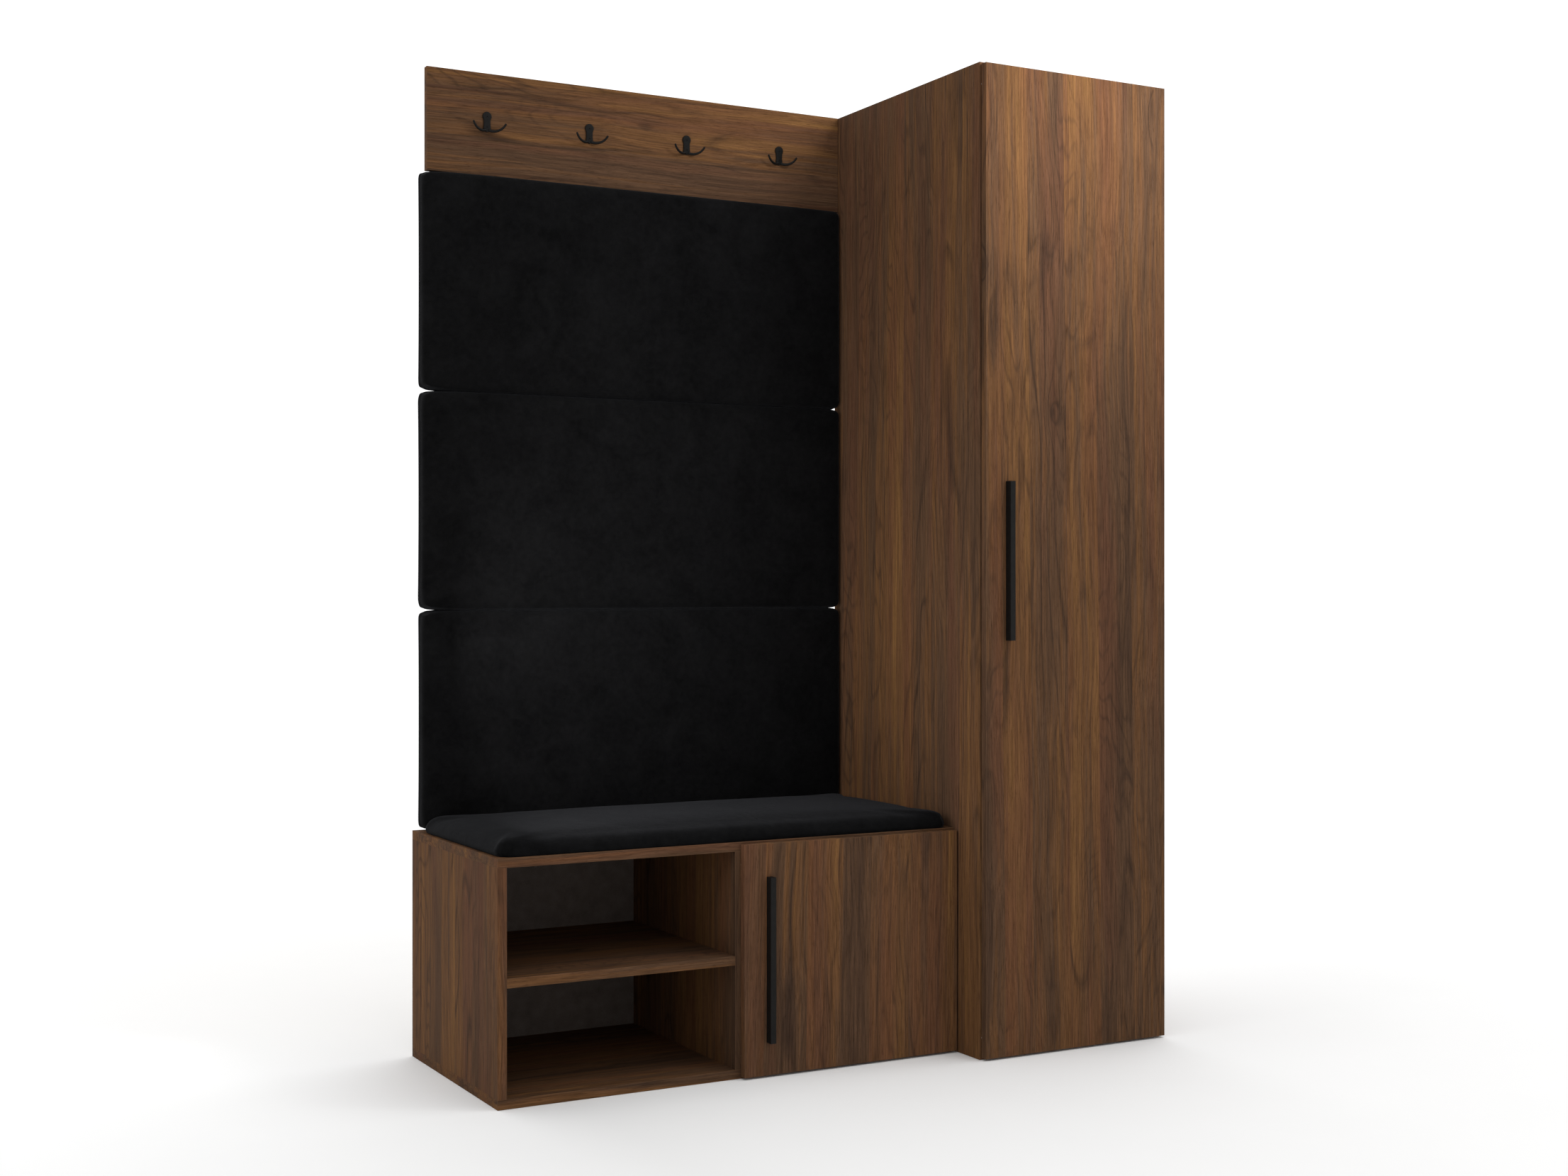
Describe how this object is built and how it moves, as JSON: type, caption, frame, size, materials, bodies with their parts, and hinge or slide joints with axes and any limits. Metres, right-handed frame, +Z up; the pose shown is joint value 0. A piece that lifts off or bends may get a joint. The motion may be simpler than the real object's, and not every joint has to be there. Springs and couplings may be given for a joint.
{
  "type": "hallway shoe cabinet set",
  "caption": "Low shoe bench with open bays, a cupboard door and a padded seat, joined to a tall coat cupboard, with upholstered wall panels and a coat-hook board above.",
  "frame": {"origin": "on the floor, in the middle of the set's overall box", "axes": "+X to the right along the wall as seen from the room, +Y from the room towards the wall, +Z up"},
  "size_m": [1.446, 0.613, 2],
  "materials": {
    "walnut_board": "satin walnut laminate",
    "hardboard": "matt painted hardboard",
    "plywood": "raw plywood",
    "beech": "fluted beech",
    "velvet": "short-pile black velvet",
    "black_metal": "matt black powder coat",
    "zinc_steel": "zinc-plated",
    "rail_chrome": "polished",
    "clear_rubber": "soft, translucent"
  },
  "bodies": {
    "cabinets": {"bench_back": "hardboard", "bench_bottom": "walnut_board", "bench_divider": "walnut_board", "bench_inner_shelf": "walnut_board", "bench_left_side": "walnut_board", "bench_right_side": "walnut_board", "bench_shoe_shelf": "walnut_board", "bench_top": "walnut_board", "cam_bolts": "zinc_steel", "cam_locks": "zinc_steel", "coat_hook_1": "black_metal", "coat_hook_2": "black_metal", "coat_hook_3": "black_metal", "coat_hook_4": "black_metal", "coat_hook_screws": "black_metal", "dowels": "beech", "hanger_plates": "zinc_steel", "hanger_screws": "zinc_steel", "hanging_rail": "rail_chrome", "hinge_arms": "zinc_steel", "hinge_plate_screws": "zinc_steel", "hinge_plates": "zinc_steel", "hook_board": "walnut_board", "joining_bolts": "zinc_steel", "panel_board_1": "plywood", "panel_board_2": "plywood", "panel_board_3": "plywood", "panel_pad_1": "velvet", "panel_pad_2": "velvet", "panel_pad_3": "velvet", "rail_socket_screws": "zinc_steel", "rail_sockets": "rail_chrome", "seat_board": "plywood", "seat_pad": "velvet", "seat_screws": "zinc_steel", "shelf_pins": "zinc_steel", "tall_back": "hardboard", "tall_bottom": "walnut_board", "tall_hat_shelf": "walnut_board", "tall_left_side": "walnut_board", "tall_lower_shelf": "walnut_board", "tall_right_side": "walnut_board", "tall_top": "walnut_board", "wall_bracket_screws": "zinc_steel", "wall_brackets": "zinc_steel"},
    "bench_door": {"bench_cup_screws": "zinc_steel", "bench_door": "walnut_board", "bench_door_buffers": "clear_rubber", "bench_door_handle": "black_metal", "bench_handle_screws": "zinc_steel", "bench_hinge_cups": "zinc_steel"},
    "tall_door": {"tall_cup_screws": "zinc_steel", "tall_door": "walnut_board", "tall_door_buffers": "clear_rubber", "tall_door_handle": "black_metal", "tall_handle_screws": "zinc_steel", "tall_hinge_cups": "zinc_steel"}
  },
  "joints": [
    {"name": "bench_door_hinge", "type": "hinge", "parent": "cabinets", "child": "bench_door", "pos_m": [0.2595, -0.1955, 0.228], "axis": [0, 0, 1], "range_deg": [0, 90]},
    {"name": "tall_door_hinge", "type": "hinge", "parent": "cabinets", "child": "tall_door", "pos_m": [0.7195, -0.2895, 1], "axis": [0, 0, 1], "range_deg": [0, 110]}
  ]
}
